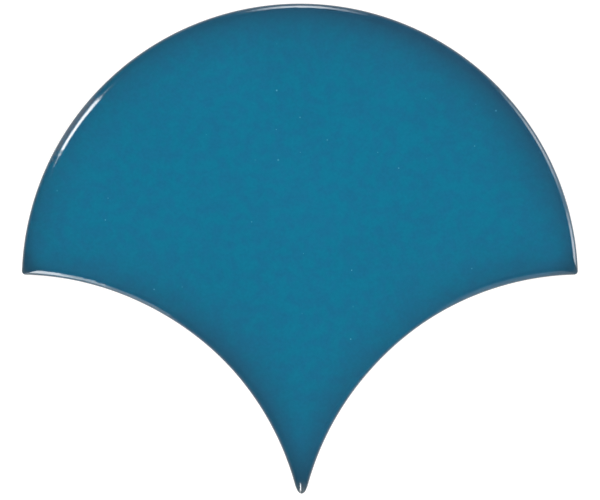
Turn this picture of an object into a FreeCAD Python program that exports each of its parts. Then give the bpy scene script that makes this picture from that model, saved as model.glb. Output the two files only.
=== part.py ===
import FreeCAD, Part
import math
import os

import Sketcher

# Fish scale tile, a dust-pressed wall tile with one glazed face, in millimetres.
# It lies on its back: the origin is the centre of the round crown on the plane of the back,
# +Y points up the wall to the top of the crown, and +Z points out of the glazed face.
# In a laid wall each hollow takes the crown of a tile in the row below.

SIZES = {
    # Radius of the crown, the upper half circle.
    "crown_radius": 60.0,
    # Joint between a crown and the hollow that it nests in.
    "crown_joint": 1.5,
    # Joint between two crowns side by side in one row.
    "side_joint": 1.5,
    # Back plane to glazed face.
    "tile_thickness": 9.0,
    # Lean of the side walls towards the back, in degrees, which lets the tile leave its die.
    "wall_draft": 1.0,
    # Radius of the roll between the glazed face and the side walls.
    "edge_roll": 1.7,
    # Plan radius of the two outer corners.
    "corner_radius": 0.9,
    # Plan radius of the tail's tip.
    "tip_radius": 1.2,
    # How much smaller the roll over the corners and the tip is than their plan radius.
    "nose_land": 0.15,
    # Bevel between the side walls and the back.
    "back_bevel": 0.8,
    # Plain land left around the keyed field of the back.
    "key_border": 4.2,
    # Depth of the grooves in the keyed field.
    "key_depth": 0.8,
    # Plan radius of the keyed field's corners.
    "key_corner": 3.0,
    # Crest of one rib between two grooves.
    "rib_width": 3.0,
    # How much further a rib reaches at its foot than at its crest, on each side.
    "rib_flare": 0.4,
    # Clear width from the crest of one rib to the crest of the next.
    "groove_width": 5.0,
}

# Sizes that follow from the driving ones, each as a formula.
FITS = {
    # A hollow is the crown of a neighbour with a joint around it.
    "hollow_radius": "sizes.crown_radius + sizes.crown_joint",
    # Centre of a hollow, across and down from the centre of the crown.
    "hollow_across": "sizes.crown_radius + sizes.side_joint / 2",
    "hollow_down": "sizes.crown_radius",
    # Roll over the corners and the tip.
    "nose_roll": "min(sizes.corner_radius; sizes.tip_radius) - sizes.nose_land",
    # The keyed field is the outline drawn in by the bevel and the border.
    "key_inset": "sizes.back_bevel + sizes.key_border",
    "key_crown": "sizes.crown_radius - key_inset",
    "key_hollow": "hollow_radius + key_inset",
    # How far the field's tip lies below the centre of the crown.
    "key_tip_rise": "sqrt((key_hollow + sizes.key_corner)^2 - hollow_across^2)",
    "key_tip_drop": "hollow_down + sizes.key_corner - key_tip_rise",
    # One rib crosses the centre of the crown, and others follow as far as the field reaches.
    "rib_pitch": "sizes.rib_width + sizes.groove_width",
    "rib_foot": "sizes.rib_width + 2 * sizes.rib_flare",
    "ribs_below": "floor(key_tip_drop / rib_pitch)",
    "ribs_above": "floor(key_crown / rib_pitch)",
    "rib_count": "ribs_below + ribs_above + 1",
    # Lower edge of the lowest rib's crest, below the centre of the crown.
    "lowest_rib": "ribs_below * rib_pitch + sizes.rib_width / 2",
}

# Point numbers of an arc or a line in a sketch, and the sketch's own axes and origin.
START, END, CENTRE = range(1, 4)
ACROSS_AXIS, UP_AXIS = range(-1, -3, -1)
ORIGIN = (ACROSS_AXIS, START)

UP = FreeCAD.Vector(0, 0, 1)


def make_sheet(doc, name, cells):
    """A sheet that holds each size in a cell of its own, named by its alias."""
    sheet = doc.addObject("Spreadsheet::Sheet", name)
    for row, (alias, content) in enumerate(cells.items(), start=1):
        sheet.set(f"A{row}", alias)
        sheet.set(f"B{row}", content)
        sheet.setAlias(f"B{row}", alias)
    doc.recompute()


def sheet_name(alias):
    """The sheet with this size: the driving sizes, or those that follow from them."""
    return "sizes" if alias in SIZES else "fits"


def number(item, alias):
    """What a size comes to now."""
    return float(item.Document.getObject(sheet_name(alias)).get(alias))


def bind(item, target, alias):
    """Tie a property of an object, or a dimension of a sketch, to a size."""
    item.setExpression(target, f"{sheet_name(alias)}.{alias}")


def origin_part(body, role):
    """The plane or axis of the body's own origin that has this role."""
    return next(part for part in body.Origin.OriginFeatures if part.Role == role)


def flat_sketch(body, name, role):
    """An empty sketch of the body on one of its origin planes."""
    sketch = body.newObject("Sketcher::SketchObject", name)
    sketch.AttachmentSupport = [(origin_part(body, role), "")]
    sketch.MapMode = "FlatFace"
    return sketch


def constrain(sketch, *constraints):
    """Add constraints that carry no size, each given as its kind and what it joins."""
    sketch.addConstraint([Sketcher.Constraint(*constraint) for constraint in constraints])


def dimension(sketch, name, alias, kind, *where):
    """Add a named dimension to the sketch and tie it to a size."""
    index = sketch.addConstraint(Sketcher.Constraint(kind, *where, number(sketch, alias)))
    sketch.renameConstraint(index, name)
    bind(sketch, f"Constraints.{name}", alias)


def arc(centre, radius, start, end):
    """An arc, drawn anticlockwise round centre from the point start to the point end."""
    angles = [math.atan2(point.y - centre.y, point.x - centre.x) for point in (start, end)]
    return Part.ArcOfCircle(Part.Circle(centre, UP, radius), *angles)


def meeting(centre_a, radius_a, centre_b, radius_b):
    """Where two circles meet, on the left of the way from the first centre to the second."""
    between = centre_b - centre_a
    along = (between.Length ** 2 + radius_a ** 2 - radius_b ** 2) / (2 * between.Length)
    aside = math.sqrt(radius_a ** 2 - along ** 2)
    direction = FreeCAD.Vector(between).normalize()
    return centre_a + direction * along + UP.cross(direction) * aside


def mirrored(point):
    """The same point on the other side of the tile's middle line."""
    return FreeCAD.Vector(-point.x, point.y, point.z)


def toward(centre, target, distance):
    """The point at this distance from centre on the way to target."""
    return centre + (target - centre).normalize() * distance


def hollow_centre(body):
    """Centre of the right hollow: where a crown of the row below has its centre."""
    return FreeCAD.Vector(number(body, "hollow_across"), -number(body, "hollow_down"), 0)


def crown_and_hollows(sketch, crown, left, right, crown_radius, hollow_radius):
    """Size and place the three main arcs, left and right alike."""
    constrain(
        sketch,
        ("Coincident", crown, CENTRE, *ORIGIN),
        ("Symmetric", left, CENTRE, right, CENTRE, UP_AXIS),
        ("Equal", left, right),
    )
    dimension(sketch, "crown", crown_radius, "Radius", crown)
    dimension(sketch, "hollow", hollow_radius, "Radius", right)
    dimension(sketch, "across", "hollow_across", "DistanceX", *ORIGIN, right, CENTRE)
    dimension(sketch, "down", "hollow_down", "DistanceY", right, CENTRE, *ORIGIN)


def sharp_outline(body):
    """Crown and two hollows as three arcs that meet at sharp corners and a sharp tip."""
    middle = FreeCAD.Vector()
    hollow = hollow_centre(body)
    crown_r = number(body, "crown_radius")
    hollow_r = number(body, "hollow_radius")
    corner = meeting(middle, crown_r, hollow, hollow_r)
    tip = meeting(mirrored(hollow), hollow_r, hollow, hollow_r)

    sketch = flat_sketch(body, "sharp_outline", "XY_Plane")
    crown, left, right = sketch.addGeometry([
        arc(middle, crown_r, corner, mirrored(corner)),
        arc(mirrored(hollow), hollow_r, tip, mirrored(corner)),
        arc(hollow, hollow_r, corner, tip),
    ], False)
    constrain(
        sketch,
        ("Coincident", crown, END, left, END),
        ("Coincident", left, START, right, END),
        ("Coincident", right, START, crown, START),
    )
    crown_and_hollows(sketch, crown, left, right, "crown_radius", "hollow_radius")
    return sketch


def rounded_outline(body, name, crown_radius, hollow_radius, corner_radius, tip_radius):
    """Crown and two hollows with these radii, their corners and tip rounded by tangent arcs.

    Each radius is given by its alias.
    """
    middle = FreeCAD.Vector()
    hollow = hollow_centre(body)
    crown_r = number(body, crown_radius)
    hollow_r = number(body, hollow_radius)
    corner_r = number(body, corner_radius)
    tip_r = number(body, tip_radius)

    # Centres of the rounding arcs, and the points where they touch the crown and the hollow.
    corner = meeting(middle, crown_r - corner_r, hollow, hollow_r + corner_r)
    tip = meeting(mirrored(hollow), hollow_r + tip_r, hollow, hollow_r + tip_r)
    crown_end = toward(middle, corner, crown_r)
    hollow_end = toward(hollow, corner, hollow_r)
    tip_end = toward(hollow, tip, hollow_r)

    sketch = flat_sketch(body, name, "XY_Plane")
    crown, left_corner, left, tail, right, right_corner = sketch.addGeometry([
        arc(middle, crown_r, crown_end, mirrored(crown_end)),
        arc(mirrored(corner), corner_r, mirrored(crown_end), mirrored(hollow_end)),
        arc(mirrored(hollow), hollow_r, mirrored(tip_end), mirrored(hollow_end)),
        arc(tip, tip_r, mirrored(tip_end), tip_end),
        arc(hollow, hollow_r, hollow_end, tip_end),
        arc(corner, corner_r, hollow_end, crown_end),
    ], False)
    constrain(
        sketch,
        ("Tangent", crown, END, left_corner, START),
        ("Tangent", left_corner, END, left, END),
        ("Tangent", left, START, tail, START),
        ("Tangent", tail, END, right, END),
        ("Tangent", right, START, right_corner, START),
        ("Tangent", right_corner, END, crown, START),
        ("Equal", left_corner, right_corner),
    )
    dimension(sketch, "corner", corner_radius, "Radius", right_corner)
    dimension(sketch, "tail_tip", tip_radius, "Radius", tail)
    crown_and_hollows(sketch, crown, left, right, crown_radius, hollow_radius)
    return sketch


def flat_faces(feature):
    """Height of each flat face of the feature, by the face's name."""
    return {f"Face{index}": face.CenterOfMass.z for index, face in enumerate(feature.Shape.Faces, start=1)
            if isinstance(face.Surface, Part.Plane)}


def glazed_face(feature):
    """Name of the highest flat face, the one that gets the glaze."""
    heights = flat_faces(feature)
    return max(heights, key=heights.get)


def back_face(feature):
    """Name of the lowest flat face, the one that goes against the wall."""
    heights = flat_faces(feature)
    return min(heights, key=heights.get)


def pressed_blank(body, outline):
    """Outline padded to the tile's thickness, with walls that lean in towards the back."""
    doc = body.Document
    pad = body.newObject("PartDesign::Pad", f"{body.Name}_pad")
    pad.Profile = outline
    bind(pad, "Length", "tile_thickness")
    doc.recompute()
    draft = body.newObject("PartDesign::Draft", f"{body.Name}_draft")
    draft.Base = (pad, [f"Face{index}" for index, face in enumerate(pad.Shape.Faces, start=1)
                        if not isinstance(face.Surface, Part.Plane)])
    draft.NeutralPlane = (pad, [glazed_face(pad)])
    draft.Reversed = True
    bind(draft, "Angle", "wall_draft")
    doc.recompute()
    return draft


def roll_edge(body, blank, name, radius):
    """Roll the whole edge of the glazed face over into the side walls."""
    roll = body.newObject("PartDesign::Fillet", name)
    roll.Base = (blank, [glazed_face(blank)])
    bind(roll, "Radius", radius)
    body.Document.recompute()
    return roll


def bevel_back(body, blank):
    """Bevel the whole edge of the back."""
    bevel = body.newObject("PartDesign::Chamfer", "back_bevel")
    bevel.Base = (blank, [back_face(blank)])
    bind(bevel, "Size", "back_bevel")
    body.Document.recompute()


def corner_die(doc):
    """A blank with round corners and tip, and a small roll over them.

    Along the edges it stands proud of the tile's wider roll. What both share is the tile.
    """
    body = doc.addObject("PartDesign::Body", "corner_die")
    outline = rounded_outline(body, "rounded_outline",
                              "crown_radius", "hollow_radius", "corner_radius", "tip_radius")
    roll_edge(body, pressed_blank(body, outline), "nose_roll", "nose_roll")
    return body


def rib_section(body):
    """Section of the lowest rib: its crest on the back plane, its wider foot on the groove floor."""
    depth = number(body, "key_depth")
    flare = number(body, "rib_flare")
    crest_start = -number(body, "lowest_rib")
    crest_end = crest_start + number(body, "rib_width")
    corners = [
        FreeCAD.Vector(crest_start, 0, 0),
        FreeCAD.Vector(crest_end, 0, 0),
        FreeCAD.Vector(crest_end + flare, depth, 0),
        FreeCAD.Vector(crest_start - flare, depth, 0),
    ]
    sketch = flat_sketch(body, "rib_section", "YZ_Plane")
    crest, upper, foot, lower = sketch.addGeometry(
        [Part.LineSegment(a, b) for a, b in zip(corners, corners[1:] + corners[:1])], False)
    constrain(
        sketch,
        ("Coincident", crest, END, upper, START),
        ("Coincident", upper, END, foot, START),
        ("Coincident", foot, END, lower, START),
        ("Coincident", lower, END, crest, START),
        ("Horizontal", crest),
        ("Horizontal", foot),
        ("Equal", upper, lower),
        ("PointOnObject", crest, START, ACROSS_AXIS),
    )
    dimension(sketch, "crest_width", "rib_width", "DistanceX", crest, START, crest, END)
    dimension(sketch, "foot_width", "rib_foot", "DistanceX", foot, END, foot, START)
    dimension(sketch, "rib_height", "key_depth", "DistanceY", *ORIGIN, foot, START)
    dimension(sketch, "rib_below", "lowest_rib", "DistanceX", crest, START, *ORIGIN)
    return sketch


def back_key(doc):
    """The grooves of the keyed back: a shallow field inside the border, less its ribs."""
    body = doc.addObject("PartDesign::Body", "back_key")
    body.AllowCompound = True
    field = body.newObject("PartDesign::Pad", "key_field_pad")
    field.Profile = rounded_outline(body, "key_field",
                                    "key_crown", "key_hollow", "key_corner", "key_corner")
    bind(field, "Length", "key_depth")
    doc.recompute()

    rib = body.newObject("PartDesign::Pocket", "rib")
    rib.Profile = rib_section(body)
    rib.SideType = "Symmetric"
    rib.Type = "ThroughAll"
    doc.recompute()

    ribs = body.newObject("PartDesign::LinearPattern", "ribs")
    ribs.Originals = [rib]
    ribs.Direction = (origin_part(body, "Y_Axis"), [""])
    ribs.Mode = "Spacing"
    bind(ribs, "Offset", "rib_pitch")
    bind(ribs, "Occurrences", "rib_count")
    body.Tip = ribs
    doc.recompute()
    print(f"keyed back: {ribs.Occurrences} ribs, field {field.Shape.Volume:.1f} mm3,"
          f" grooves {ribs.Shape.Volume:.1f} mm3")
    return body


def combine(body, name, kind, tool):
    """Shape the body by another body: keep what both share, or cut the other one away."""
    feature = body.newObject("PartDesign::Boolean", name)
    feature.setObjects([tool])
    feature.Type = kind
    body.Document.recompute()


def fish_scale_tile(doc):
    """The tile: blank with rolled edges, corners rounded, grooves cut in the back."""
    body = doc.addObject("PartDesign::Body", "fish_scale_tile")
    body.Label = "fish_scale_tile"
    blank = pressed_blank(body, sharp_outline(body))
    bevel_back(body, roll_edge(body, blank, "edge_roll", "edge_roll"))
    combine(body, "rounded_corners", "Common", corner_die(doc))
    combine(body, "keyed_back", "Cut", back_key(doc))
    return body


def check(doc, body):
    """Stop if any object failed or the tile isn't one sound solid."""
    for item in doc.Objects:
        if "Invalid" in item.State or "Error" in item.State:
            raise RuntimeError(f"{item.Name} failed: {item.State}")
        if item.isDerivedFrom("Sketcher::SketchObject") and not item.FullyConstrained:
            raise RuntimeError(f"{item.Name} is not fully constrained")
    shape = body.Shape
    if shape.isNull() or not shape.isValid() or len(shape.Solids) != 1:
        raise RuntimeError(f"{body.Label} is not one sound solid")


def main():
    doc = FreeCAD.newDocument("fish_scale_tile")
    make_sheet(doc, "sizes", {alias: str(value) for alias, value in SIZES.items()})
    make_sheet(doc, "fits", {alias: f"={formula}" for alias, formula in FITS.items()})
    tile = fish_scale_tile(doc)
    doc.recompute()
    check(doc, tile)
    os.makedirs("parts", exist_ok=True)
    tile.Shape.exportStep(f"parts/{tile.Label}.step")
    box = tile.Shape.optimalBoundingBox(False)
    print(f"{tile.Label}: {box.XLength:.2f} x {box.YLength:.2f} x {box.ZLength:.2f} mm,"
          f" {tile.Shape.Volume:.1f} mm3, {len(tile.Shape.Faces)} faces")


main()
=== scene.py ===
# %% [markdown]
# # A fish scale tile
# This lesson dresses one glazed wall tile. Its body and its glaze were fired into one piece, so the
# whole tile is one closed mesh. The construction model gives its sizes, and the mesh adds what the
# fire does: glaze that draws back from the edge, ripples a little and stops in an uneven bead.

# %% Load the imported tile
import math

import bmesh
import bpy
import numpy as np
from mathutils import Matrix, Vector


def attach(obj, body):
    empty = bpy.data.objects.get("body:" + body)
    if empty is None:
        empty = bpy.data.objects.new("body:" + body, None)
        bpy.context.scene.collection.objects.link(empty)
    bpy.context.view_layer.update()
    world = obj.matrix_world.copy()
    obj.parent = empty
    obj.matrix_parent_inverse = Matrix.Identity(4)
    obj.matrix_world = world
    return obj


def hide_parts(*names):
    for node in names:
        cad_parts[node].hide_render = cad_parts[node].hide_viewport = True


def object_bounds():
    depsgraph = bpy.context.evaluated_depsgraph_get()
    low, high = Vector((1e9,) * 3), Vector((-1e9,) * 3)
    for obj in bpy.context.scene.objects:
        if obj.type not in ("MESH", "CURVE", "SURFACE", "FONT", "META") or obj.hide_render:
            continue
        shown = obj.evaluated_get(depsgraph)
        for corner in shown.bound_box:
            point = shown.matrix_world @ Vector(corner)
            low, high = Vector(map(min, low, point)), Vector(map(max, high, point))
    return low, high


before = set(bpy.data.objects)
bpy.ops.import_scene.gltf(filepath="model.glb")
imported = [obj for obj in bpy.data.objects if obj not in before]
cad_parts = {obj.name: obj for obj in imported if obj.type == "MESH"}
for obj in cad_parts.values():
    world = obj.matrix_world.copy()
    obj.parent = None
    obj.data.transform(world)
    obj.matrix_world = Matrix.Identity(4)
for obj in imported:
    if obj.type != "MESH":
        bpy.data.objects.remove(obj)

TILE_NODE = "fish_scale_tile"
MM = 0.001

cad_low, cad_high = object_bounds()
print("CAD box in mm:", [round(size / MM, 2) for size in cad_high - cad_low])

# %% [markdown]
# ## The outline
# Seen from above, the tile is a round crown with two hollows below it. Each hollow takes the crown
# of a tile in the next row, so its radius is the crown's plus a joint. A curve object with handles
# could draw this, but arcs worked out from their centres are exact, and they can be drawn in by any
# amount. That is how every ring of the edge is made: the same outline, a little further in.

# %% Sizes of the outline, in millimetres
CROWN = 60.0
CROWN_JOINT = 1.5
SIDE_JOINT = 1.5
HOLLOW = CROWN + CROWN_JOINT
ACROSS = CROWN + SIDE_JOINT / 2
DOWN = CROWN
CORNER = 0.9
TIP = 1.2
THICKNESS = cad_high.z / MM
EDGE_START = CROWN - cad_high.y / MM
print(f"thickness {THICKNESS:.2f} mm, the edge starts {EDGE_START:.3f} mm inside the drawn outline")


# %% Arcs of the right half
def half_arcs(inset, corner, tip):
    """The four arcs of the outline's right half, drawn in by inset: tip, hollow, corner and crown.

    A rounding arc's centre is where two circles meet. The corner's is one corner radius inside the
    crown and one outside the hollow, and the tip's is on the middle line, one tip radius outside
    the hollow. An arc runs between the directions from its centre to its neighbours' centres.
    """
    inset, corner, tip = np.broadcast_arrays(inset, corner, tip)
    crown = CROWN - inset
    hollow = HOLLOW + inset
    span = math.hypot(ACROSS, DOWN)
    along = (span ** 2 + (crown - corner) ** 2 - (hollow + corner) ** 2) / (2 * span)
    aside = np.sqrt((crown - corner) ** 2 - along ** 2)
    corner_x = (ACROSS * along + DOWN * aside) / span
    corner_y = (ACROSS * aside - DOWN * along) / span
    tip_y = np.sqrt((hollow + tip) ** 2 - ACROSS ** 2) - DOWN

    crown_turn = np.arctan2(corner_y, corner_x)
    corner_turn = np.arctan2(-DOWN - corner_y, ACROSS - corner_x)
    tip_turn = np.arctan2(-DOWN - tip_y, ACROSS)
    zero = np.zeros_like(crown)
    return {
        "x": np.stack([zero, zero + ACROSS, corner_x, zero], axis=-1),
        "y": np.stack([tip_y, zero - DOWN, corner_y, zero], axis=-1),
        "radius": np.stack([tip, hollow, corner, crown], axis=-1),
        "start": np.stack([zero - math.pi / 2, tip_turn + math.pi, corner_turn, crown_turn], axis=-1),
        "end": np.stack([tip_turn, corner_turn + math.pi, crown_turn, zero + math.pi / 2], axis=-1),
    }


# Which way is out of the tile, seen from each arc's centre: only the hollow curves inwards.
ARC_SIDE = np.array([1.0, -1.0, 1.0, 1.0])


def half_outline(inset, corner, tip, places):
    """Points and outward directions on the right half, from the tip up to the top of the crown.

    A place is a number from 0 to 4: its whole part picks the arc and the rest is the share of the
    way along it. The point is the arc's centre plus its radius in the direction at that share.
    """
    arcs = half_arcs(inset, corner, tip)
    which = np.minimum(places.astype(int), len(ARC_SIDE) - 1)
    share = places - which
    angle = arcs["start"][..., which] * (1 - share) + arcs["end"][..., which] * share
    radius = arcs["radius"][..., which]
    x = arcs["x"][..., which] + radius * np.cos(angle)
    y = arcs["y"][..., which] + radius * np.sin(angle)
    return x, y, ARC_SIDE[which] * np.cos(angle), ARC_SIDE[which] * np.sin(angle)


def arc_distances(x, y):
    """Distances of a point to the crown and to both hollows, the nearest first.

    Each is the difference between the arc's radius and the distance to the arc's centre.
    """
    to_crown = CROWN - np.hypot(x, y)
    to_right = np.hypot(x - ACROSS, y + DOWN) - HOLLOW
    to_left = np.hypot(x + ACROSS, y + DOWN) - HOLLOW
    return np.sort([to_crown, to_right, to_left], axis=0)


def edge_distance(x, y, softness=0.8):
    """How far a point lies inside the edge: the least of its distances to the three arcs.

    A soft minimum, the log of a sum of exponentials, leaves no crease where two are equal.
    """
    distances = arc_distances(x, y)
    weights = np.exp((distances[0] - distances) / softness).sum(axis=0)
    return distances[0] - softness * np.log(weights)


# %% [markdown]
# ## Where the rings have their points
# The back is pressed with straight ribs, so some points of the rings have to lie exactly on the
# lines where a rib starts and ends. Heights only rise along the half outline, so a plain lookup
# turns a rib's height back into a place on the outline.

# %% Ribs of the back
BEVEL = 0.8
KEY_BORDER = 4.2
KEY_INSET = BEVEL + KEY_BORDER
KEY_DEPTH = 0.8
KEY_CORNER = 3.0
KEY_WALL = 0.15
RIB_WIDTH = 3.0
RIB_FLARE = 0.4
GROOVE_WIDTH = 5.0
RIB_PITCH = RIB_WIDTH + GROOVE_WIDTH
FINE_PLACES = 40001

floor_corner = KEY_CORNER - KEY_WALL
fine_places = np.linspace(0, len(ARC_SIDE), FINE_PLACES)
_, floor_y, _, _ = half_outline(KEY_INSET + KEY_WALL, floor_corner, floor_corner, fine_places)
first_rib = math.ceil(floor_y[0] / RIB_PITCH)
last_rib = math.floor(floor_y[-1] / RIB_PITCH)
rib_middles = RIB_PITCH * np.arange(first_rib, last_rib + 1)
half_widths = np.array([RIB_WIDTH / 2, RIB_WIDTH / 2 + RIB_FLARE])
rib_lines = np.add.outer(rib_middles, np.concatenate([-half_widths, half_widths])).ravel()
rib_places = np.interp(rib_lines, floor_y, fine_places)
print(f"{len(rib_middles)} ribs, {len(rib_lines)} lines across the back")


def groove_depth(y):
    """Depth of the back at a height: none on a rib's crest, full past its foot, a slope between."""
    from_rib = np.abs(np.subtract.outer(y, rib_middles)).min(axis=-1)
    return KEY_DEPTH * np.clip((from_rib - RIB_WIDTH / 2) / RIB_FLARE, 0, 1)


# %% Places shared by all rings
ARC_STEPS = (18, 100, 16, 110)
SHORTEST_STEP = 0.003

arc_places = [arc + np.arange(steps) / steps for arc, steps in enumerate(ARC_STEPS)]
even_places = np.append(np.concatenate(arc_places), len(ARC_STEPS))
crowded = np.abs(np.subtract.outer(even_places, rib_places)).min(axis=1) < SHORTEST_STEP
places = np.sort(np.concatenate([even_places[~crowded], rib_places]))
print(f"{len(places)} points on each half of a ring")

# %% [markdown]
# ## Ripples
# Nothing that was pressed, glazed and fired is quite even. A noise texture could push the points
# about, but a few long waves, each with a direction of its own, are smoother. One formula serves the
# face, the roll and the line where the glaze stops, each with its own wavelengths.

# %% Sum of waves
def ripple(x, y, shortest, longest, seed, count=14):
    """Waves of random direction and phase added up, so that most values lie within one.

    Each wave is the sine of the distance along its own direction, in wavelengths, plus a phase.
    """
    chance = np.random.default_rng(seed)
    turns = chance.uniform(0, 2 * math.pi, count)
    phases = chance.uniform(0, 2 * math.pi, count)
    lengths = np.geomspace(shortest, longest, count)
    waves = [np.sin(2 * math.pi * (x * math.cos(turn) + y * math.sin(turn)) / length + phase)
             for turn, phase, length in zip(turns, phases, lengths)]
    return sum(waves) / math.sqrt(count)


def smooth_step(value):
    """From 0 to 1, level at both ends: three times the value's square less twice its cube."""
    value = np.clip(value, 0, 1)
    return value * value * (3 - 2 * value)


# %% [markdown]
# ## The section of the edge
# From the back up, the edge has a bevel, a wall that leans a little, a roll into the face and a soft
# shoulder. A bevel modifier gives one round only. Here the section is a list of rings, each an inset
# and a height, so the roll can be wider than it is deep, which is the shape that glaze gives it. At
# the corners glaze draws into a wide round, so the rings there get rounder further in.

# %% Rings from the back to the face
WALL_LEAN = math.tan(math.radians(1))
BEVEL_ROUND = 0.07
ROLL_ACROSS = 2.3
ROLL_DOWN = 1.2
ROLL_CORNER = 2.6
CORNER_GROWTH = 1.2
SHOULDER_RISE = 0.09
SHOULDER_WIDTH = 4.0
RING_END = 6.0
WALL_RINGS = 25
ROLL_RINGS = 26
SHOULDER_RINGS = 8

wall_top = THICKNESS - ROLL_DOWN - SHOULDER_RISE
wall_foot = EDGE_START + wall_top * WALL_LEAN
edge_corner = CORNER - EDGE_START
edge_tip = TIP - EDGE_START

# Each row is inset, height, corner radius and tip radius.
back_rings = np.array([
    [KEY_INSET + KEY_WALL, 0.0, floor_corner, floor_corner],
    [KEY_INSET, 0.0, KEY_CORNER, KEY_CORNER],
    [(KEY_INSET + BEVEL) / 2, 0.0, (KEY_CORNER + edge_corner) / 2, (KEY_CORNER + edge_tip) / 2],
    [wall_foot + BEVEL + BEVEL_ROUND, 0.0, edge_corner, edge_tip],
    [wall_foot + BEVEL - BEVEL_ROUND, BEVEL_ROUND, edge_corner, edge_tip],
    [wall_foot + BEVEL_ROUND, BEVEL - BEVEL_ROUND, edge_corner, edge_tip],
])
wall_height = np.linspace(BEVEL + BEVEL_ROUND, wall_top, WALL_RINGS, endpoint=False)
wall_inset = EDGE_START + (wall_top - wall_height) * WALL_LEAN
roll_turn = np.linspace(math.pi / 2, 0, ROLL_RINGS)
roll_inset = EDGE_START + ROLL_ACROSS * (1 - np.sin(roll_turn))
shoulder_inset = np.geomspace(roll_inset[-1], RING_END, SHOULDER_RINGS + 1)[1:]
print(f"the wall leans in by {wall_foot - EDGE_START:.3f} mm from its top at {wall_top:.2f} mm")

# %% Insets, heights and radii of all rings
wall_start = len(back_rings)
roll_start = wall_start + len(wall_inset)
ring_inset = np.concatenate([back_rings[:, 0], wall_inset, roll_inset, shoulder_inset])
ring_height = np.full_like(ring_inset, wall_top)
ring_height[:roll_start] = np.concatenate([back_rings[:, 1], wall_height])
ring_turn = np.zeros_like(ring_inset)
ring_turn[:roll_start] = math.pi / 2
ring_turn[roll_start:roll_start + len(roll_turn)] = roll_turn
ring_corner = np.full_like(ring_inset, edge_corner)
ring_corner[:wall_start] = back_rings[:, 2]
growth = smooth_step((ring_inset[roll_start:] - EDGE_START) / CORNER_GROWTH)
ring_corner[roll_start:] += growth * (ROLL_CORNER - edge_corner)
ring_tip = np.full_like(ring_inset, edge_tip)
ring_tip[:wall_start] = back_rings[:, 3]
print(f"{len(ring_inset)} rings: the wall starts at ring {wall_start}, the roll at ring {roll_start}")


# %% Height of the glazed face
FACE_WAVE = 0.012
FACE_RIPPLE = {"shortest": 9, "longest": 40, "seed": 3}


def face_rise(x, y):
    """How far the glaze stands over the roll's own height.

    The shoulder's rise plus waves, times a share that grows exponentially from 0 at the edge to 1.
    """
    near_edge = np.exp(-np.maximum(edge_distance(x, y), 0) / SHOULDER_WIDTH)
    return (SHOULDER_RISE + FACE_WAVE * ripple(x, y, **FACE_RIPPLE)) * (1 - near_edge)


print(f"the face's middle stands {face_rise(0.0, 0.0):.3f} mm over the roll")

# %% [markdown]
# ## Glaze on the edge
# The roll isn't equally wide all round, though it is calm at the corners, where the glaze is drawn
# tight. On the wall the glaze stops short of the back, in a bead that wanders up and down. Below it
# the bare wall stands a little further in. Both are moves along the outward direction of each point,
# so the rings stay in order and the mesh stays clean.

# %% Rings drawn in evenly
def both_halves(right, sign):
    """A closed ring from its right half: up the right side, then down the mirrored left side."""
    return np.concatenate([right, sign * right[..., -2:0:-1]], axis=-1)


right_x, right_y, right_out_x, right_out_y = half_outline(ring_inset, ring_corner, ring_tip, places)
x = both_halves(right_x, -1)
y = both_halves(right_y, 1)
out_x = both_halves(right_out_x, -1)
out_y = both_halves(right_out_y, 1)
print(f"ring grid {x.shape}, before the glaze moves it")

# %% The bead and the bare foot
GLAZE_LINE = 2.4
GLAZE_LINE_UNEVEN = 0.4
GLAZE_LINE_RIPPLE = {"shortest": 6, "longest": 40, "seed": 8}
BEAD_DEPTH = 0.12
BEAD_ROUND = 0.5

glaze_line = GLAZE_LINE + GLAZE_LINE_UNEVEN * ripple(x, y, **GLAZE_LINE_RIPPLE)
cover = smooth_step((ring_height[:, None] - glaze_line) / BEAD_ROUND + 0.5)
cover[:wall_start] = 0
drawn_in = BEAD_DEPTH * (1 - cover)

# Of the bare rings, those of the bevel move with the wall, and those round the ribs stay.
drawn_in[:wall_start] *= (ring_inset[:wall_start] < KEY_INSET / 2)[:, None]
print(f"glaze line from {glaze_line.min():.2f} to {glaze_line.max():.2f} mm")

# %% The uneven roll
ROLL_UNEVEN = 0.03
ROLL_RIPPLE = {"shortest": 7, "longest": 30, "seed": 5}
CALM_REACH = 12.0

towards_face = np.clip((RING_END - ring_inset) / (RING_END - roll_inset[-1]), 0, 1)
rolling = (towards_face * (1 - np.sin(ring_turn)))[:, None]
liveliness = smooth_step(np.hypot(np.abs(x) - CROWN, y - CROWN_JOINT) / CALM_REACH)
drawn_in += ROLL_ACROSS * ROLL_UNEVEN * rolling * liveliness * ripple(x, y, **ROLL_RIPPLE)
x -= drawn_in * out_x
y -= drawn_in * out_y

z = ring_height[:, None] + ROLL_DOWN * np.cos(ring_turn)[:, None] * np.ones_like(x)
z[roll_start:] += face_rise(x[roll_start:], y[roll_start:])
z[0] = groove_depth(y[0])
print(f"the glaze draws the rings in by up to {drawn_in.max():.2f} mm")

# %% [markdown]
# ## The face and the back
# The tile is the same left and right, and its half outline only rises, so a row can join each point
# of the innermost ring with its mirror image. Rows side by side fill the whole face with quads. The
# back is filled the same way, and its rows sink where the grooves are.

# %% Rows across the face and the back
FACE_COLUMNS = 80
BACK_COLUMNS = 12


def rows_across(ring_x, ring_y, columns):
    """A grid inside a ring: each row runs straight from the left point to the right one, in shares."""
    shares = np.linspace(-1, 1, columns + 1)
    return np.multiply.outer(ring_x, shares), np.repeat(ring_y[:, None], columns + 1, axis=1)


face_x, face_y = rows_across(right_x[-1], right_y[-1], FACE_COLUMNS)
face_z = wall_top + ROLL_DOWN + face_rise(face_x, face_y)
back_x, back_y = rows_across(right_x[0], right_y[0], BACK_COLUMNS)
back_z = groove_depth(back_y)

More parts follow.
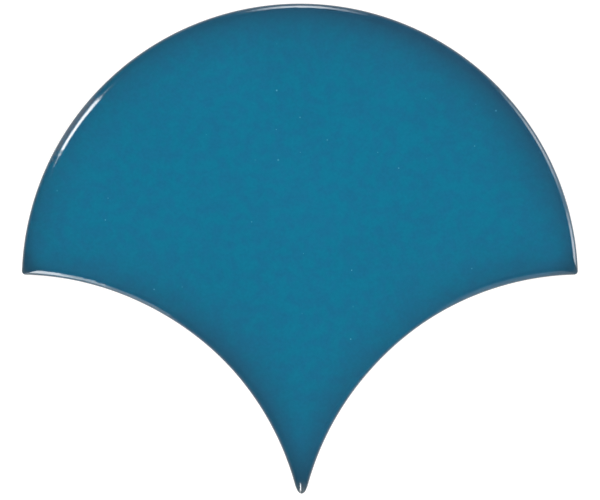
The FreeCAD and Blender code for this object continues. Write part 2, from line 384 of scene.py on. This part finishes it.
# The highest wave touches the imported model's height, and nothing stands above it.
too_high = face_z.max() - THICKNESS
face_z -= too_high
z -= too_high * np.cos(ring_turn)[:, None]
print(f"face lowered by {too_high:.3f} mm, groove depth {back_z.max():.2f} mm")


# %% [markdown]
# ## Pooled glaze
# While it is molten, the glaze runs. It pools along the edge, more towards one corner of the kiln
# than the other, and it lies deepest in the narrow places: the tail, the corners and the bead. How
# much lies at each point is worked out here and stored on the mesh, because the outline's formula is
# at hand. A shader would have to find the edge again for every ray.

# %% How much glaze has pooled
POOL_START = 1.5
POOL_WIDTH = 4.9
POOL_MIDDLE = 5.0
POOL_TURN = math.radians(60)
POOL_SHARE = 0.75
POOL_ONE_SIDE = 0.125
POOL_BOTH_SIDES = 0.19


def pooling(x, y):
    """Share of pooled glaze: falls off exponentially with the edge distance.

    By direction it is uneven: a mean share plus one wave and two waves round the tile.
    """
    inside = np.maximum(edge_distance(x, y) - POOL_START, 0)
    turn = np.arctan2(y - POOL_MIDDLE, x) - POOL_TURN
    uneven = POOL_SHARE + POOL_ONE_SIDE * np.cos(turn) + POOL_BOTH_SIDES * np.cos(2 * turn)
    return uneven * np.exp(-inside / POOL_WIDTH)


print(f"pooled glaze: up to {pooling(x, y).max():.2f} at the edge, {pooling(0.0, 0.0):.4f} in the middle")

# %% Where it lies deepest
NARROW_START = 9.5
NARROW_FADE = 8.5
NARROW_SHARE = 0.8
BEAD_SHARE = 0.7
BEAD_FADE = 0.6


def deepening(x, y):
    """Share of deep glaze: grows where the two nearest arcs, with their distances added, come close."""
    narrow = arc_distances(x, y)[:2].sum(axis=0)
    return NARROW_SHARE * smooth_step((NARROW_START - narrow) / NARROW_FADE)


above_line = np.maximum(ring_height[:, None] - glaze_line, 0)
bead = BEAD_SHARE * np.exp(-above_line / BEAD_FADE)
print(f"deep glaze: up to {deepening(x, y).max():.2f} in narrow places, {bead.max():.2f} at the bead")

# %% Where it lies thin, with a painted grey reflection
RIM_WIDTH = 0.8
RIM_SHARE = 0.4
TAIL_GREY_REACH = 3.5
TAIL_SHARE = 0.9

# The rings know their inset, which also holds where corners and tip are rounded off.
ring_edge = np.minimum(edge_distance(x, y), ring_inset[:, None] - EDGE_START)


def thinning_and_reflection(edge, y):
    """Share of thin glaze and painted grey reflection: the larger of two soft steps, towards the rim and
    the end of the tail.
    """
    rim = RIM_SHARE * smooth_step(1 - edge / RIM_WIDTH)
    above_tip = y - right_y[roll_start, 0]
    return np.maximum(rim, TAIL_SHARE * smooth_step(1 - above_tip / TAIL_GREY_REACH))


print(f"thin glaze: up to {thinning_and_reflection(ring_edge, y).max():.2f} at the end of the tail")


# %% [markdown]
# ## One closed mesh
# Rings, face and back are grids of points. Their quads are numbered by a formula, stacked into one
# mesh and welded along the seams. Joining three objects would do too, but a single mesh can be tested
# for holes at once. The values that the shaders need are stored at its points.

# %% Quads of a grid
def grid_quads(rows, columns, first, closed=False, flipped=False):
    """Corner numbers of a grid's quads: each point with its neighbours in the next column and row.

    Points are numbered row by row from first. A closed grid's last column joins its first one.
    """
    index = first + np.arange(rows * columns).reshape(rows, columns)
    if closed:
        index = np.concatenate([index, index[:, :1]], axis=1)
    quads = np.stack([index[:-1, :-1], index[:-1, 1:], index[1:, 1:], index[1:, :-1]], axis=-1)
    quads = quads.reshape(-1, 4)
    return quads[:, ::-1] if flipped else quads


def stacked(*grids):
    """Several grids of one value as a single column of numbers."""
    return np.concatenate([np.ravel(grid) for grid in grids])


# %% Points, quads and finishes
grids = [(x, face_x, back_x), (y, face_y, back_y), (z, face_z, back_z)]
points = np.stack([stacked(*parts) for parts in grids], axis=1)
ring_quads = grid_quads(*x.shape, first=0, closed=True)
face_quads = grid_quads(*face_x.shape, first=x.size)
back_quads = grid_quads(*back_x.shape, first=x.size + face_x.size, flipped=True)
quads = np.concatenate([ring_quads, face_quads, back_quads])

GLAZE_SLOT, CLAY_SLOT = range(2)
slots = np.full(len(quads), GLAZE_SLOT)
slots[:wall_start * x.shape[1]] = CLAY_SLOT
slots[-len(back_quads):] = CLAY_SLOT
print(f"{len(points)} points, {len(quads)} quads")

# %% Values stored at the points
face_none, face_full = np.zeros_like(face_x), np.ones_like(face_x)
back_none, back_full = np.zeros_like(back_x), np.ones_like(back_x)
ring_deep = np.maximum(deepening(x, y), bead)
point_values = {
    "edge_mm": stacked(ring_edge, edge_distance(face_x, face_y), edge_distance(back_x, back_y)),
    "glaze_pool": pooling(points[:, 0], points[:, 1]),
    "glaze_deep": stacked(ring_deep, deepening(face_x, face_y), back_none),
    "thin_glaze_and_reflection": stacked(thinning_and_reflection(ring_edge, y), face_none, back_none),
    "glaze_cover": stacked(cover, face_full, back_none),
    "glaze_lively": stacked(liveliness, face_full, back_full),
    "wall_mm": np.maximum(wall_top - points[:, 2], 0),
}
print("stored:", ", ".join(point_values))

# %% The tail, then the mesh
TAIL_LEAN = 0.35
TAIL_START = 20.0
TIP_TAPER = 0.24
TIP_REACH = 1.7

# A sponge takes the burr off the raw tile and leaves the end of its tail a little narrower.
tip_end = points[:, 1].min()
points[:, 0] *= 1 - TIP_TAPER * smooth_step(1 - (points[:, 1] - tip_end) / TIP_REACH)

# Clay moves a little in the kiln, and this tile's tail leans to the right.
points[:, 0] += TAIL_LEAN * smooth_step(-points[:, 1] / TAIL_START)

mesh = bpy.data.meshes.new("glazed_tile")
mesh.from_pydata(points * MM, [], quads)
mesh.polygons.foreach_set("material_index", slots.astype(np.int32))
mesh.polygons.foreach_set("use_smooth", np.ones(len(quads), dtype=bool))
for name, values in point_values.items():
    mesh.attributes.new(name, "FLOAT", "POINT").data.foreach_set("value", values.astype(np.float32))
print(f"{mesh.name}: {len(mesh.vertices)} points, not yet welded")

# %% Weld the seams and look for holes
WELD = 1e-7
SHARP = math.radians(35)

bm = bmesh.new()
bm.from_mesh(mesh)
bmesh.ops.remove_doubles(bm, verts=bm.verts, dist=WELD)
open_edges = sum(not edge.is_manifold for edge in bm.edges)
triangles = sum(len(face.verts) - 2 for face in bm.faces)
volume = bm.calc_volume(signed=True) / MM ** 3
bm.to_mesh(mesh)
bm.free()
mesh.set_sharp_from_angle(angle=SHARP)
tile = bpy.data.objects.new("glazed_tile", mesh)
bpy.context.scene.collection.objects.link(tile)
print(f"{triangles} triangles, {open_edges} open edges, volume {volume:.0f} cubic mm")

# %% [markdown]
# ## Building materials in code
# A material is a tree of nodes. A few small helpers keep the trees readable: one adds a node and
# feeds its inputs, and the others use it for sums, mixed colours, soft steps, noise and the values
# that the mesh carries. Effects that both finishes need are node groups, which are built once and
# placed in each material with other values.

# %% Helpers for nodes
def place(tree, kind, inputs, **settings):
    """Add a node, set its own settings, then set or link its inputs by name or number."""
    node = tree.nodes.new(kind)
    for name, value in settings.items():
        setattr(node, name, value)
    for key, value in inputs.items():
        if isinstance(value, bpy.types.NodeSocket):
            tree.links.new(value, node.inputs[key])
        else:
            node.inputs[key].default_value = value
    return node


def reckon(tree, operation, *values):
    """One sum, product or other operation on numbers or sockets."""
    return place(tree, "ShaderNodeMath", dict(enumerate(values)), operation=operation).outputs[0]


def mix_colours(tree, share, first, second):
    """The first colour where share is 0, and the second where it is 1.

    The node's colour sockets have the same names as its number sockets, so they go by number.
    """
    inputs = {0: share, 6: first, 7: second}
    return place(tree, "ShaderNodeMix", inputs, data_type="RGBA").outputs[2]


def ease(tree, value, start, end):
    """From 0 at start to 1 at end, level at both."""
    inputs = {"Value": value, "From Min": start, "From Max": end}
    return place(tree, "ShaderNodeMapRange", inputs, interpolation_type="SMOOTHSTEP").outputs[0]


def noise(tree, vector, **inputs):
    """A noise texture's value at a place."""
    return place(tree, "ShaderNodeTexNoise", {"Vector": vector, **inputs}).outputs["Fac"]


def stored(tree, name):
    """A value that the mesh carries at its points."""
    return place(tree, "ShaderNodeAttribute", {}, attribute_name=name).outputs["Fac"]


def new_group(name, inputs, outputs):
    """An empty node group with named number inputs and named outputs."""
    group = bpy.data.node_groups.new(name, "ShaderNodeTree")
    for label, default in inputs.items():
        socket = group.interface.new_socket(label, in_out="INPUT", socket_type="NodeSocketFloat")
        socket.default_value = default
    for label, kind in outputs.items():
        group.interface.new_socket(label, in_out="OUTPUT", socket_type=kind)
    start = group.nodes.new("NodeGroupInput").outputs
    end = group.nodes.new("NodeGroupOutput").inputs
    return group, start, end


def use_group(tree, group, **inputs):
    """Place a group in a tree and give it its values."""
    return place(tree, "ShaderNodeGroup", inputs, node_tree=group).outputs


def srgb(red, green, blue):
    """A colour given by its screen values from 0 to 255, as the linear numbers that shaders use."""
    screen = np.array([red, green, blue]) / 255
    linear = np.where(screen <= 0.04045, screen / 12.92, ((screen + 0.055) / 1.055) ** 2.4)
    return (*linear.tolist(), 1.0)


# %% [markdown]
# ## Cloudiness and specks
# Glaze is a little cloudy, and so is pressed clay. Both also have specks: pinholes in the glaze and
# iron spots in the clay. A noise texture gives the clouds. The specks are cells of a Voronoi texture,
# of which only a few are kept, by the random number that every cell has. Other random numbers of the
# cell make some specks smaller or fainter than others.

# %% Clouds group
NUMBER = "NodeSocketFloat"

clouds, entry, result = new_group("clouds", {"Scale": 300.0, "Contrast": 0.1}, {"Factor": NUMBER})
where = clouds.nodes.new("ShaderNodeTexCoord").outputs["Object"]
drift = noise(clouds, where, Scale=entry["Scale"], Detail=4.0)
centred = reckon(clouds, "SUBTRACT", drift, 0.5)
clouds.links.new(reckon(clouds, "MULTIPLY_ADD", centred, entry["Contrast"], 1.0), result["Factor"])
print(f"{clouds.name}: {len(clouds.nodes)} nodes")

# %% Specks group
SPECK_LEAST = 0.35
SPECK_SOFT = 0.7

specks, entry, result = new_group("specks", {"Scale": 100.0, "Share": 0.1, "Size": 0.02}, {"Mask": NUMBER})
where = specks.nodes.new("ShaderNodeTexCoord").outputs["Object"]
cells = place(specks, "ShaderNodeTexVoronoi", {"Vector": where, "Scale": entry["Scale"]},
              voronoi_dimensions="2D")
chance = place(specks, "ShaderNodeSeparateColor", {"Color": cells.outputs["Color"]}).outputs
kept = reckon(specks, "LESS_THAN", chance["Red"], entry["Share"])
relative = reckon(specks, "ADD", chance["Green"], SPECK_LEAST)
radius = reckon(specks, "MULTIPLY", entry["Size"], relative)
inside = reckon(specks, "SUBTRACT", 1.0, reckon(specks, "DIVIDE", cells.outputs["Distance"], radius))
shown = reckon(specks, "MULTIPLY", kept, ease(specks, inside, 0.0, SPECK_SOFT))
specks.links.new(reckon(specks, "MULTIPLY", shown, chance["Blue"]), result["Mask"])
print(f"{specks.name}: {len(specks.nodes)} nodes")

# %% [markdown]
# ## Bare clay
# The back and the foot of the walls are fired clay without glaze: pale, dull and slightly sandy. It
# shows in both materials, below the glaze line and on the back, so it is a group that puts out a
# colour and a height for bump.

# %% Bare clay group
CLAY_PALE = srgb(214, 199, 176)
CLAY_DARK = srgb(182, 162, 136)
CLAY_SPOT = srgb(120, 92, 66)
PATCH_RANGE = (0.35, 0.75)
PATCH_HEIGHT = 0.5
SPOT_SHARE = 0.6
COLOUR = "NodeSocketColor"

bare_clay, _, result = new_group("bare_clay", {}, {"Color": COLOUR, "Height": NUMBER})
where = bare_clay.nodes.new("ShaderNodeTexCoord").outputs["Object"]
patches = noise(bare_clay, where, Scale=90.0, Detail=6.0, Roughness=0.65)
sand = noise(bare_clay, where, Scale=2600.0, Detail=3.0)
spots = use_group(bare_clay, specks, Scale=420.0, Share=0.12, Size=0.16)["Mask"]
tone = mix_colours(bare_clay, ease(bare_clay, patches, *PATCH_RANGE), CLAY_PALE, CLAY_DARK)
tone = mix_colours(bare_clay, reckon(bare_clay, "MULTIPLY", spots, SPOT_SHARE), tone, CLAY_SPOT)
bare_clay.links.new(tone, result["Color"])
bare_clay.links.new(reckon(bare_clay, "MULTIPLY_ADD", patches, PATCH_HEIGHT, sand), result["Height"])
print(f"{bare_clay.name} group: {len(bare_clay.nodes)} nodes")

# %% Material of the back
CLAY_ROUGHNESS = 0.85
GRAIN_HEIGHT = 0.00006
GRAIN_STRENGTH = 0.8

clay = bpy.data.materials.new("bare_clay")
clay.use_nodes = True
tree = clay.node_tree
shader = tree.nodes["Principled BSDF"]
body = use_group(tree, bare_clay)
relief = {"Height": body["Height"], "Distance": GRAIN_HEIGHT, "Strength": GRAIN_STRENGTH}
grain = place(tree, "ShaderNodeBump", relief)
tree.links.new(body["Color"], shader.inputs["Base Color"])
tree.links.new(grain.outputs["Normal"], shader.inputs["Normal"])
shader.inputs["Roughness"].default_value = CLAY_ROUGHNESS
print(f"{clay.name} material: {len(tree.nodes)} nodes")

# %% [markdown]
# ## Blue glaze
# The glaze is coloured glass over the clay. It is clear blue in the middle of the face, darker and
# greyer where it pools along the edge, and deep in the narrow places. It breaks thin over the rim and
# the end of the tail, where its colour is also made greyer as a painted reflection of the steep glaze.
# It is a little pebbled on the roll and hangs in runs on the wall. The mesh carries all this as
# attributes. A painted picture could too, but attributes have no seams and follow the outline exactly.
# Below the bead the shader turns to clay.

# %% Colours of the glaze
GLAZE_MIDDLE = srgb(24, 113, 149)
GLAZE_GREENER = srgb(14, 117, 149)
GLAZE_POOLED = srgb(35, 82, 110)
GLAZE_DEEP = srgb(32, 68, 89)
# Thin glaze on the rim and tail end, made greyer to paint the reflection that steep glaze shows there.
GLAZE_THIN_AND_REFLECTED = srgb(88, 100, 106)
GLAZE_SPECK = srgb(95, 175, 200)
GLAZE_ROUGHNESS = 0.05
GLAZE_IOR = 1.6

glaze = bpy.data.materials.new("blue_glaze")
glaze.use_nodes = True
tree = glaze.node_tree
shader = tree.nodes["Principled BSDF"]
where = tree.nodes.new("ShaderNodeTexCoord").outputs["Object"]
edge = stored(tree, "edge_mm")
wall = stored(tree, "wall_mm")
covered = stored(tree, "glaze_cover")
print(f"{glaze.name}: roughness {GLAZE_ROUGHNESS}, index of refraction {GLAZE_IOR}")

# %% Pools, runs, and the thin rim with its painted grey reflection
TINT_RANGE = (0.7, 1.3)
RUN_STRETCH = (1.0, 1.0, 0.15)
RUN_RANGE = (0.4, 0.7)
RUN_DROP = (0.5, 3.0)
RUN_SHARE = 0.6
RIM_DROP = 2.5

tint = ease(tree, use_group(tree, clouds, Scale=420.0, Contrast=2.0)["Factor"], *TINT_RANGE)
colour = mix_colours(tree, tint, GLAZE_MIDDLE, GLAZE_GREENER)
colour = mix_colours(tree, stored(tree, "glaze_pool"), colour, GLAZE_POOLED)

stretched = place(tree, "ShaderNodeVectorMath", {0: where, 1: RUN_STRETCH}, operation="MULTIPLY")
runs = noise(tree, stretched.outputs[0], Scale=500.0, Detail=3.0)
runs = reckon(tree, "MULTIPLY", ease(tree, runs, *RUN_RANGE), ease(tree, wall, *RUN_DROP))
deep = reckon(tree, "MAXIMUM", stored(tree, "glaze_deep"), reckon(tree, "MULTIPLY", runs, RUN_SHARE))
colour = mix_colours(tree, deep, colour, GLAZE_DEEP)

# The rim and the end of the tail go grey: partly thin glaze, partly a painted reflection.
rim = reckon(tree, "MULTIPLY", stored(tree, "thin_glaze_and_reflection"), ease(tree, wall, RIM_DROP, 0.0))
colour = mix_colours(tree, rim, colour, GLAZE_THIN_AND_REFLECTED)
print(f"{glaze.name} with pools, runs and rim: {len(tree.nodes)} nodes")

# %% Clouds and specks in the glaze
SPECK_EDGE = (2.0, 4.0)

broad = use_group(tree, clouds, Scale=60.0, Contrast=0.12)["Factor"]
middling = use_group(tree, clouds, Scale=420.0, Contrast=0.12)["Factor"]
fine = use_group(tree, clouds, Scale=1600.0, Contrast=0.24)["Factor"]
shade = reckon(tree, "MULTIPLY", reckon(tree, "MULTIPLY", broad, middling), fine)
colour = place(tree, "ShaderNodeVectorMath", {0: colour, "Scale": shade}, operation="SCALE").outputs[0]
pinholes = use_group(tree, specks, Scale=190.0, Share=0.2, Size=0.04)["Mask"]
on_face = reckon(tree, "MULTIPLY", pinholes, ease(tree, edge, *SPECK_EDGE))
colour = mix_colours(tree, on_face, colour, GLAZE_SPECK)
print(f"{glaze.name} with clouds and specks: {len(tree.nodes)} nodes")

# %% Glaze, bead and bare wall in one shader
WET_RANGE = (0.3, 0.6)

body = use_group(tree, bare_clay)
wet = ease(tree, covered, *WET_RANGE)
tree.links.new(mix_colours(tree, wet, body["Color"], colour), shader.inputs["Base Color"])
dull = reckon(tree, "SUBTRACT", 1.0, wet)
roughness = reckon(tree, "MULTIPLY_ADD", dull, CLAY_ROUGHNESS - GLAZE_ROUGHNESS, GLAZE_ROUGHNESS)
tree.links.new(roughness, shader.inputs["Roughness"])
shader.inputs["IOR"].default_value = GLAZE_IOR
print(f"{glaze.name} with the bare wall: {len(tree.nodes)} nodes")

# %% Relief of the glaze
PEBBLE_EDGE = (1.3, 0.7)
GLAZE_RELIEF = 0.000025
CLAY_OVER_GLAZE = 4.0

peel = noise(tree, where, Scale=260.0, Detail=3.0)
pebbles = noise(tree, where, Scale=520.0, Detail=1.0)
pebbles = reckon(tree, "MULTIPLY", pebbles, ease(tree, edge, *PEBBLE_EDGE))
wavy = reckon(tree, "MULTIPLY", reckon(tree, "ADD", pebbles, peel), stored(tree, "glaze_lively"))
sandy = reckon(tree, "MULTIPLY", body["Height"], dull)
height = reckon(tree, "MULTIPLY_ADD", sandy, CLAY_OVER_GLAZE, wavy)
bump = place(tree, "ShaderNodeBump", {"Height": height, "Distance": GLAZE_RELIEF, "Strength": 1.0})
tree.links.new(bump.outputs["Normal"], shader.inputs["Normal"])
print(f"{glaze.name} with its relief: {len(tree.nodes)} nodes")

# %% The tile takes its place in the frame
mesh.materials.append(glaze)
mesh.materials.append(clay)
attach(tile, "root")
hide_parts(TILE_NODE)
print(f"{tile.name} takes the place of {TILE_NODE}")

# %% [markdown]
# ## Floor and room
# The tile lies on a plain white sweep: a floor that bends up into a low wall far away, so no horizon
# shows. To the camera and in reflections it glows a little, which makes it white without more light
# on the tile, and its diffuse part keeps the shadow. The room above is dark, because a glossy face
# that is seen from straight above shows exactly what is there.

# %% White sweep
FLOOR_RADIUS = 3.0
SWEEP_RADIUS = 0.5
SWEEP_TURNS = 96
BEND_STEPS = 16
FLOOR_STEPS = np.array([0.0, 0.05, 0.5])
FLOOR_GAP = 0.00002

bend = np.linspace(0, math.pi / 2, BEND_STEPS)
profile_r = np.concatenate([FLOOR_STEPS, FLOOR_RADIUS + SWEEP_RADIUS * np.sin(bend)])
profile_z = np.concatenate([np.zeros_like(FLOOR_STEPS), SWEEP_RADIUS * (1 - np.cos(bend))]) - FLOOR_GAP
turns = np.linspace(0, 2 * math.pi, SWEEP_TURNS, endpoint=False)
sweep_x = np.outer(profile_r, np.cos(turns))
sweep_y = np.outer(profile_r, np.sin(turns))
sweep_z = np.repeat(profile_z[:, None], SWEEP_TURNS, axis=1)
sweep_points = np.stack([sweep_x, sweep_y, sweep_z], axis=-1).reshape(-1, 3)
sweep_quads = grid_quads(len(profile_r), SWEEP_TURNS, first=0, closed=True, flipped=True)
sweep_mesh = bpy.data.meshes.new("white_sweep")
sweep_mesh.from_pydata(sweep_points, [], sweep_quads)
sweep_mesh.polygons.foreach_set("use_smooth", np.ones(len(sweep_quads), dtype=bool))
sweep = bpy.data.objects.new("white_sweep", sweep_mesh)
bpy.context.scene.collection.objects.link(sweep)
print(f"sweep: {len(sweep_quads)} quads, {2 * (FLOOR_RADIUS + SWEEP_RADIUS):.1f} m across")

# %% White paper
FLOOR_COLOUR = (0.3, 0.3, 0.3, 1.0)
FLOOR_GLOW = 0.85

paper = bpy.data.materials.new("white_paper")
paper.use_nodes = True
tree = paper.node_tree
tree.nodes.remove(tree.nodes["Principled BSDF"])
path = tree.nodes.new("ShaderNodeLightPath").outputs
seen = reckon(tree, "MAXIMUM", path["Is Camera Ray"], path["Is Glossy Ray"])
seen = reckon(tree, "MAXIMUM", seen, path["Is Transmission Ray"])
matt = place(tree, "ShaderNodeBsdfDiffuse", {"Color": FLOOR_COLOUR})
glow = place(tree, "ShaderNodeEmission", {"Strength": reckon(tree, "MULTIPLY", seen, FLOOR_GLOW)})
both = place(tree, "ShaderNodeAddShader", {0: matt.outputs[0], 1: glow.outputs[0]})
tree.links.new(both.outputs[0], tree.nodes["Material Output"].inputs["Surface"])
sweep_mesh.materials.append(paper)
print(f"{paper.name}: diffuse at {FLOOR_COLOUR[0]}, glows at {FLOOR_GLOW}")

# %% Dark room
ROOM_TOP = 0.03
ROOM_SIDE = 0.12
ROOM_TURN = 0.8

world = bpy.data.worlds.new("dark_room")
bpy.context.scene.world = world
world.use_nodes = True
tree = world.node_tree
direction = tree.nodes.new("ShaderNodeTexCoord").outputs["Generated"]
upward = place(tree, "ShaderNodeSeparateXYZ", {"Vector": direction}).outputs["Z"]
rise = {"From Min": 0.0, "From Max": ROOM_TURN, "To Min": ROOM_SIDE, "To Max": ROOM_TOP}
level = place(tree, "ShaderNodeMapRange", {"Value": upward, **rise}).outputs[0]
tree.links.new(level, tree.nodes["Background"].inputs["Strength"])
tree.nodes["Background"].inputs["Color"].default_value = (1.0, 1.0, 1.0, 1.0)
print(f"room: {ROOM_SIDE} at the floor, {ROOM_TOP} above")

# %% [markdown]
# ## Lights
# Each bright line on the rolled edge is a lamp seen in the glaze. A roll that leans by some angle
# shows what lies at twice that angle from straight up, in the direction that the edge faces. So the
# place of a line on the roll gives the place of its softbox. An area lamp would do, but near straight
# up its rectangle looks skewed. A patch of a sphere, cut along azimuth and tilt, keeps its shape, and
# an attribute lets it fade towards its sides. The cloth is clear, so that lamps may overlap. The last
# lamp is a fill: it brings the face to its plain level and is kept out of the gloss.

# %% Cloth of the softboxes
cloth = bpy.data.materials.new("lamp_cloth")
cloth.use_nodes = True
cloth.cycles.emission_sampling = "FRONT"
tree = cloth.node_tree
tree.nodes.remove(tree.nodes["Principled BSDF"])
shine = place(tree, "ShaderNodeAttribute", {}, attribute_name="shine").outputs["Color"]
behind = tree.nodes.new("ShaderNodeNewGeometry").outputs["Backfacing"]
in_front = reckon(tree, "SUBTRACT", 1.0, behind)
lit = place(tree, "ShaderNodeEmission", {"Color": shine, "Strength": in_front})
clear = tree.nodes.new("ShaderNodeBsdfTransparent")
both = place(tree, "ShaderNodeAddShader", {0: lit.outputs[0], 1: clear.outputs[0]})
tree.links.new(both.outputs[0], tree.nodes["Material Output"].inputs["Surface"])
print(f"{cloth.name}: {len(tree.nodes)} nodes")

# %% Softboxes
LAMP_DISTANCE = 1.3
LAMP_STEPS = 24
WHITE = (1.0, 1.0, 1.0)
WARM = (1.0, 0.42, 0.08)


def softbox(name, azimuths, tilts, radiance, soft, colour=WHITE, mirrored=True):
    """A patch of a sphere round the tile, between two azimuths and two tilts from straight up.

    A point is the distance times (sin tilt cos azimuth, sin tilt sin azimuth, cos tilt). The light
    fades towards the sides, over the soft share of each half width and each half height. A lamp
    that isn't mirrored gives its light but doesn't show in the gloss.
    """
    span = np.linspace(-1, 1, LAMP_STEPS + 1)
    tilt = np.radians(np.interp(span, (-1, 1), tilts))[:, None]
    azimuth = np.radians(np.interp(span, (-1, 1), azimuths))
    eastward = np.sin(tilt) * np.cos(azimuth)
    northward = np.sin(tilt) * np.sin(azimuth)
    upward = np.cos(tilt) * np.ones_like(azimuth)
    directions = np.stack([eastward, northward, upward], axis=-1).reshape(-1, 3)
    from_side = 1 - np.abs(span)
    fade = np.outer(smooth_step(from_side / soft[1]), smooth_step(from_side / soft[0]))
    light = np.multiply.outer(radiance * fade.ravel(), np.append(colour, 0.0))

    data = bpy.data.meshes.new(name)
    data.from_pydata(LAMP_DISTANCE * directions, [], grid_quads(len(span), len(span), first=0))
    data.attributes.new("shine", "FLOAT_COLOR", "POINT").data.foreach_set("color", light.ravel())
    data.materials.append(cloth)
    lamp = bpy.data.objects.new(name, data)
    lamp.visible_camera = False
    lamp.visible_glossy = mirrored
    bpy.context.scene.collection.objects.link(lamp)

    cells = np.abs(np.diff(np.cos(tilt) ** 2, axis=0)).mean() * np.diff(azimuth).mean() / 2
    print(f"{name}: lights the face at {fade.sum() * radiance * cells / math.pi:.2f}")


softbox("key_box", azimuths=(138.2, 154.2), tilts=(18.5, 41), radiance=15, soft=(0.2, 0.45))
softbox("key_rim", azimuths=(136.4, 156.4), tilts=(28, 33), radiance=6, soft=(0.1, 0.5))
softbox("key_frame", azimuths=(138.2, 154.2), tilts=(39, 86), radiance=1.25, soft=(0.15, 0.2), colour=WARM)
softbox("top_panel", azimuths=(74.5, 104.5), tilts=(42.5, 72), radiance=10, soft=(1.0, 0.4))
softbox("right_panel", azimuths=(12, 47), tilts=(48, 82), radiance=5.6, soft=(1.0, 0.4))
softbox("side_panel", azimuths=(-6, 18), tilts=(49, 84), radiance=7.6, soft=(1.0, 0.4))
softbox("low_box", azimuths=(250.5, 259), tilts=(37, 74), radiance=5.6, soft=(0.2, 0.3))
softbox("low_panel", azimuths=(245.4, 259), tilts=(38, 82), radiance=5, soft=(0.2, 0.3))
softbox("low_side", azimuths=(234, 249), tilts=(52, 89), radiance=2, soft=(0.6, 0.3))
softbox("far_panel", azimuths=(270, 306), tilts=(37, 84), radiance=0.9, soft=(0.5, 0.4))
softbox("tail_box", azimuths=(254, 266.5), tilts=(25, 46), radiance=22, soft=(0.5, 0.5))
softbox("fill", azimuths=(0, 360), tilts=(1, 50), radiance=0.3, soft=(0.01, 0.5), mirrored=False)

# %% [markdown]
# ## Camera
# The tile is seen from straight above with a long lens. The picture's width takes in a known width of
# the tile's plane, so the height of the camera follows from the lens.

# %% Camera over the tile
LENS = 150.0
SENSOR = 36.0
FIELD_WIDTH = 129.27
FIELD_MIDDLE = (0.03, 6.85)

camera_data = bpy.data.cameras.new("camera")
camera_data.lens = LENS
camera_data.sensor_width = SENSOR
camera_height = wall_top + FIELD_WIDTH * LENS / SENSOR
camera = bpy.data.objects.new("camera", camera_data)
camera.location = (FIELD_MIDDLE[0] * MM, FIELD_MIDDLE[1] * MM, camera_height * MM)
bpy.context.scene.collection.objects.link(camera)
bpy.context.scene.camera = camera
bpy.context.scene.view_settings.view_transform = "Standard"
print(f"camera {camera_height:.0f} mm above the floor")
